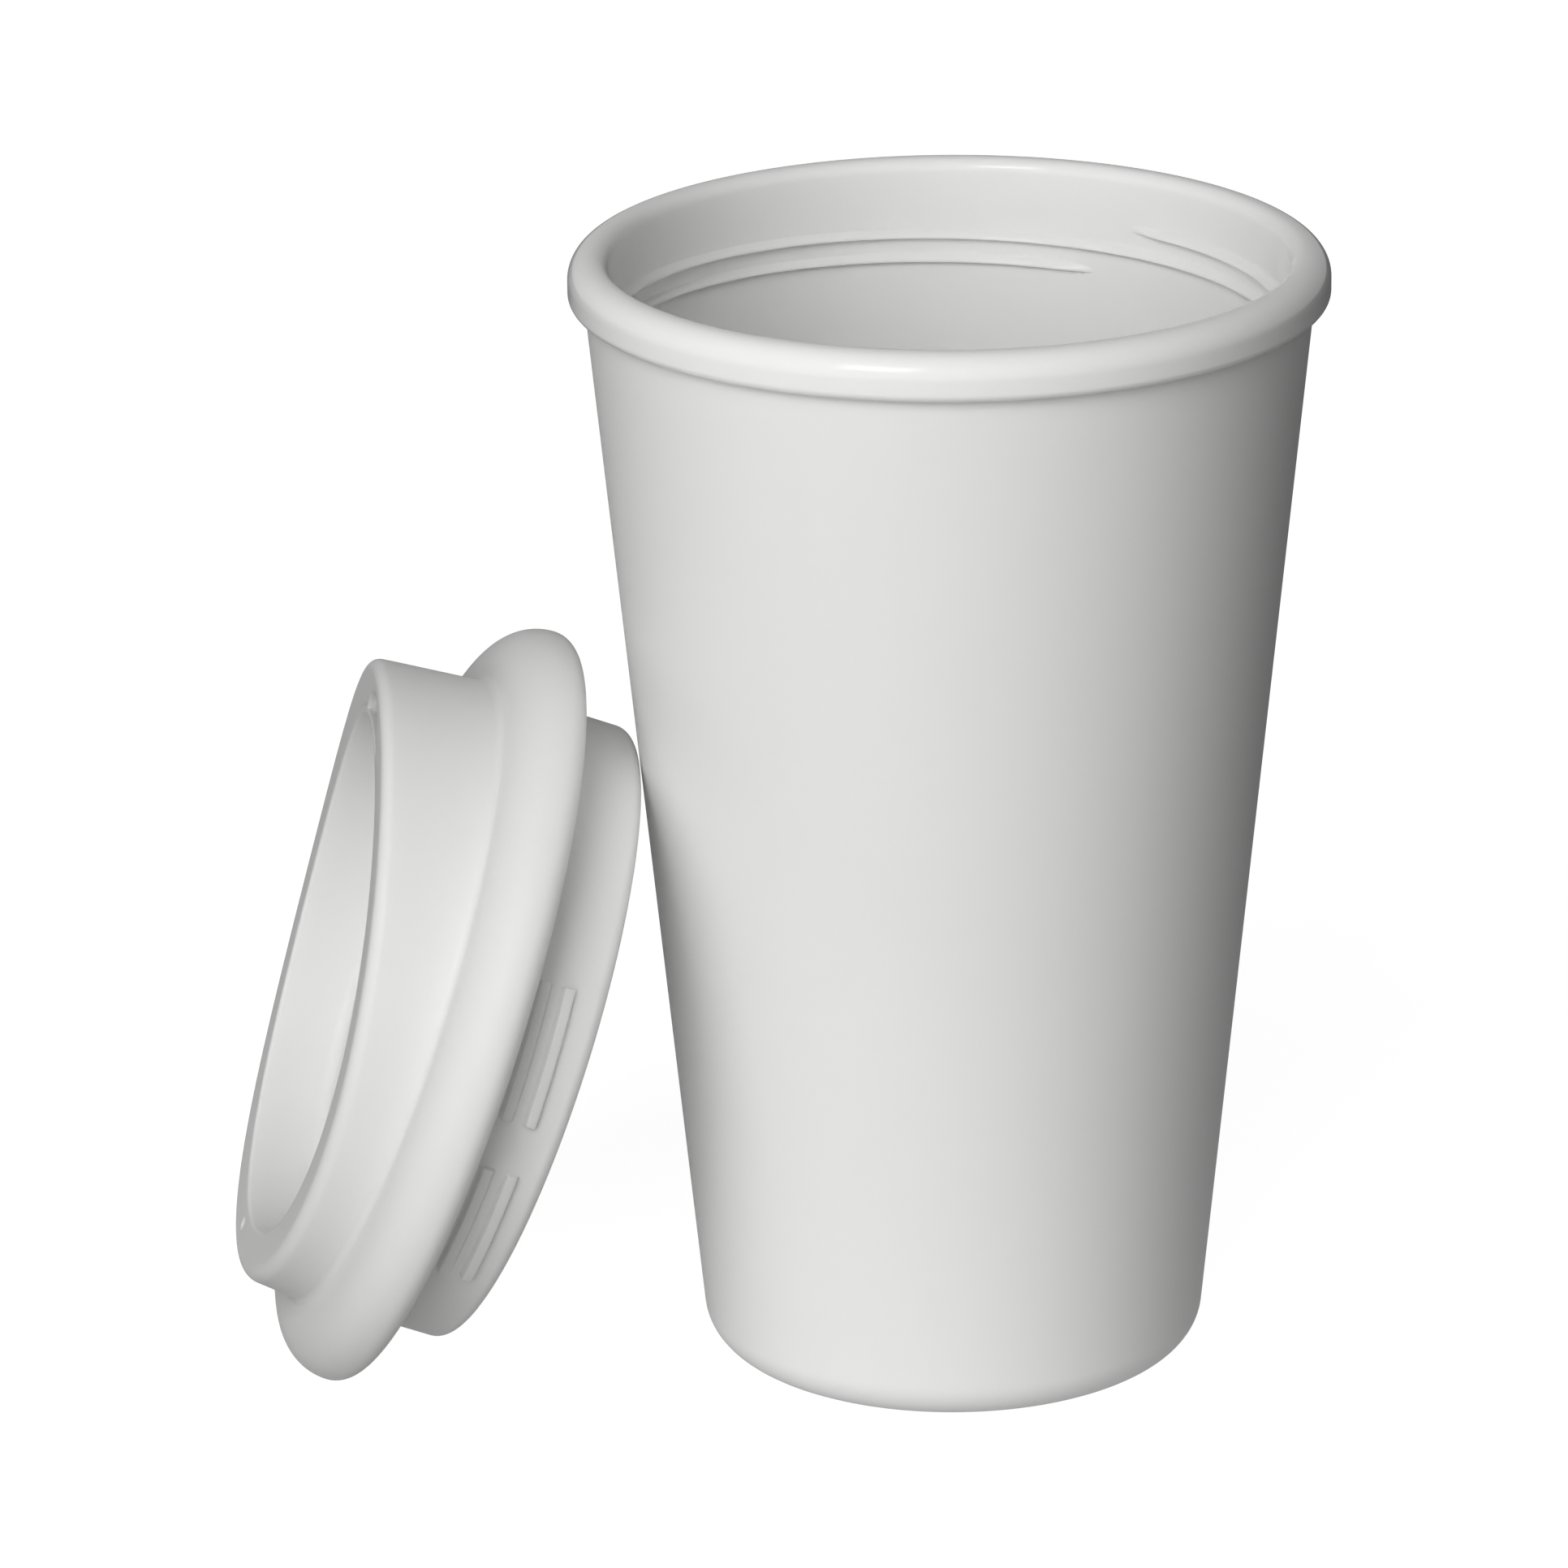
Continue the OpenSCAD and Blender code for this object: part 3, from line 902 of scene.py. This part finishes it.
    def build(self) -> bpy.types.Object:
        """Makes the lid and leans it on the cup.

        Returns:
            The finished piece.
        """
        mesh = bmesh.new()
        lathe(mesh, self.outline(), self.steps)
        bmesh.ops.recalc_face_normals(mesh, faces=mesh.faces[:])
        under = self.collar_low - self.ledge_wall
        recess_edge = self.recess_radius + self.edge
        mouth_top = [(ring, self.collar_low) for ring in self.ledge_rings[:-1]]
        mouth_under = [(self.recess_outer, under)] + [(ring, under) for ring in self.ledge_rings[1:-1]]
        vent_top = [(ring, self.collar_low) for ring in (recess_edge, *self.ledge_rings)]
        vent_under = mouth_under + [(self.skirt_inner_top, under)]
        mouth = [self.grid(mesh, rows, 90, self.mouth_columns) for rows in (mouth_top, mouth_under)]
        vent = [self.grid(mesh, rows, 270, self.vent_columns) for rows in (vent_top, vent_under)]
        self.lift(mesh)
        self.cut_mouth(mesh, mouth)
        self.cut_vent(mesh, vent)
        bmesh.ops.recalc_face_normals(mesh, faces=mesh.faces[:])
        mesh = fuse(mesh, self.ribs())
        self.place(mesh)
        return finish_piece(mesh, "screw_lid", Finish.LID.value.build(), "lid", 40)


@dataclass(frozen=True)
class Lamp:
    """A square soft lamp that looks at the cup.

    The turn is degrees from the camera's side, negative to the left, the height is
    degrees above the floor, the distance and size are metres and the power is watts.
    A lamp that doesn't shine gives light and no highlights.
    """

    name: str
    turn: float
    height: float
    power: float
    size: float
    shines: bool = True
    distance: float = 1.5

    def hang(self, aim: Vector) -> None:
        """Adds the lamp to the scene.

        Args:
            aim: the point that it looks at.
        """
        data = bpy.data.lights.new(self.name, "AREA")
        data.shape = "SQUARE"
        data.size = self.size
        data.energy = self.power
        way = math.radians(-90 + self.turn)
        level = math.radians(self.height)
        out = Vector((math.cos(way) * math.cos(level), math.sin(way) * math.cos(level), math.sin(level)))
        lamp = bpy.data.objects.new(self.name, data)
        lamp.location = aim + out * self.distance
        lamp.rotation_euler = out.to_track_quat("Z", "Y").to_euler()
        lamp.visible_glossy = self.shines
        bpy.context.scene.collection.objects.link(lamp)


@dataclass
class Studio:
    """Camera, lamps, floor and backdrop.

    The camera is the photograph's: place in metres, pan, tilt and roll in radians,
    and a focal length in pixels of its square frame. Bounce is painted light: the
    floor glows for all rays but the camera's, in place of the light that it would
    send up. Gleam is the backdrop's strength in reflections, and glow and shade
    make the floor that the camera sees.
    """

    camera_place: tuple[float, float, float] = (0.0, -1.01661, 0.42799)
    pan: float = -0.0202
    tilt: float = 0.3364
    roll: float = -0.0107
    focal_px: float = 10794.0
    frame_px: int = 1932
    sensor_mm: float = 36.0
    aim: tuple[float, float, float] = (0.0, 0.0, 0.08)
    lamps: tuple[Lamp, ...] = (
        Lamp("key", -23.0, 40.0, 3.2, 0.5),
        Lamp("key_glow", -26.0, 42.0, 3.8, 1.0, False),
        Lamp("low_front", -28.0, 16.0, 12.8, 1.2, False),
        Lamp("fill", 6.0, 24.0, 5.6, 1.2, False),
        Lamp("back", 180.0, 60.0, 2.2, 1.2, False),
    )
    backdrop_glow: float = 1.02
    gleam_level: float = 0.55
    # Painted bounce: the floor's glow for all rays but the camera's, near and far from the cup's foot.
    near_painted_bounce: float = 0.37
    far_painted_bounce: float = 0.12
    near_reach: float = 0.03
    far_reach: float = 0.2
    floor_glow: float = 0.94
    floor_shade: float = 0.3
    floor_size: float = 6.0

    def camera(self) -> None:
        """Sets the camera of the photograph."""
        forward = Vector(
            (
                math.sin(self.pan) * math.cos(self.tilt),
                math.cos(self.pan) * math.cos(self.tilt),
                -math.sin(self.tilt),
            )
        )
        right = Vector((math.cos(self.pan), -math.sin(self.pan), 0.0))
        up = right.cross(forward)
        across = right * math.cos(self.roll) + up * math.sin(self.roll)
        above = up * math.cos(self.roll) - right * math.sin(self.roll)
        turned = Matrix((across, above, -forward)).transposed().to_4x4()
        data = bpy.data.cameras.new("camera")
        data.sensor_width = self.sensor_mm
        data.lens = self.focal_px / self.frame_px * self.sensor_mm
        data.clip_start, data.clip_end = 0.01, 50.0
        data.dof.use_dof = False
        camera = bpy.data.objects.new("camera", data)
        camera.matrix_world = Matrix.Translation(self.camera_place) @ turned
        bpy.context.scene.collection.objects.link(camera)
        bpy.context.scene.camera = camera

    def backdrop(self) -> None:
        """Shows a white backdrop to the camera and a pale one in the plastic's gleam."""
        world = bpy.data.worlds.new("studio")
        world.use_nodes = True
        tree = world.node_tree
        tree.nodes.clear()
        rays = add_node(tree, "ShaderNodeLightPath")
        gleam = add_node(
            tree,
            "ShaderNodeMath",
            {"operation": "MULTIPLY"},
            {0: rays.outputs["Is Glossy Ray"], 1: self.gleam_level},
        )
        pale = {"Color": grey(1.0), "Strength": gleam.outputs[0]}
        white = {"Color": grey(1.0), "Strength": self.backdrop_glow}
        mix = add_node(
            tree,
            "ShaderNodeMixShader",
            inputs={
                0: rays.outputs["Is Camera Ray"],
                1: add_node(tree, "ShaderNodeBackground", inputs=pale).outputs[0],
                2: add_node(tree, "ShaderNodeBackground", inputs=white).outputs[0],
            },
        )
        add_node(tree, "ShaderNodeOutputWorld", inputs={"Surface": mix.outputs[0]})
        bpy.context.scene.world = world

    def floor(self) -> bpy.types.Object:
        """Lays a pale floor that keeps a faint shadow and glows painted bounce light at the cup.

        Returns:
            The floor.
        """
        material = bpy.data.materials.new("pale_floor")
        material.use_nodes = True
        tree = material.node_tree
        tree.nodes.clear()
        rays = add_node(tree, "ShaderNodeLightPath")
        place = add_node(tree, "ShaderNodeTexCoord").outputs["Object"]
        reach = add_node(tree, "ShaderNodeVectorMath", {"operation": "LENGTH"}, {0: place})
        # Painted bounce: for all rays but the camera's the floor glows, most near the cup's foot, less
        # further out.
        bounce = add_node(
            tree,
            "ShaderNodeMapRange",
            inputs={
                "Value": reach.outputs["Value"],
                "From Min": self.near_reach,
                "From Max": self.far_reach,
                "To Min": self.near_painted_bounce,
                "To Max": self.far_painted_bounce,
            },
        )
        # Painted bounce glow: the floor's emission in place of the light that it would send up.
        painted_bounce_glow = add_node(
            tree,
            "ShaderNodeEmission",
            inputs={"Color": grey(1.0), "Strength": bounce.outputs["Result"]},
        )
        seen = add_node(tree, "ShaderNodeBsdfDiffuse", inputs={"Color": grey(self.floor_shade)})
        glow = add_node(tree, "ShaderNodeEmission", inputs={"Color": grey(1.0), "Strength": self.floor_glow})
        sum_ = add_node(tree, "ShaderNodeAddShader", inputs={0: seen.outputs[0], 1: glow.outputs[0]})
        mix = add_node(
            tree,
            "ShaderNodeMixShader",
            inputs={0: rays.outputs["Is Camera Ray"], 1: painted_bounce_glow.outputs[0], 2: sum_.outputs[0]},
        )
        add_node(tree, "ShaderNodeOutputMaterial", inputs={"Surface": mix.outputs[0]})
        mesh = bmesh.new()
        bmesh.ops.create_grid(mesh, x_segments=1, y_segments=1, size=self.floor_size / 2)
        data = bpy.data.meshes.new("floor")
        mesh.to_mesh(data)
        mesh.free()
        data.materials.append(material)
        floor = bpy.data.objects.new("floor", data)
        bpy.context.scene.collection.objects.link(floor)
        return floor

    def build(self) -> None:
        """Sets up camera, lamps, world and floor."""
        bpy.context.scene.view_settings.view_transform = "Standard"
        self.camera()
        for lamp in self.lamps:
            lamp.hang(Vector(self.aim))
        self.backdrop()
        self.floor()
        LOG.info("studio: camera, %d lamps, world and floor", len(self.lamps))


def main() -> None:
    """Builds the cup and the studio."""
    logging.basicConfig(level=logging.INFO, format="%(name)s %(message)s")
    for piece in (OuterShell(), InnerLiner(), Lid()):
        piece.build()
    Studio().build()


if __name__ == "__main__":
    main()
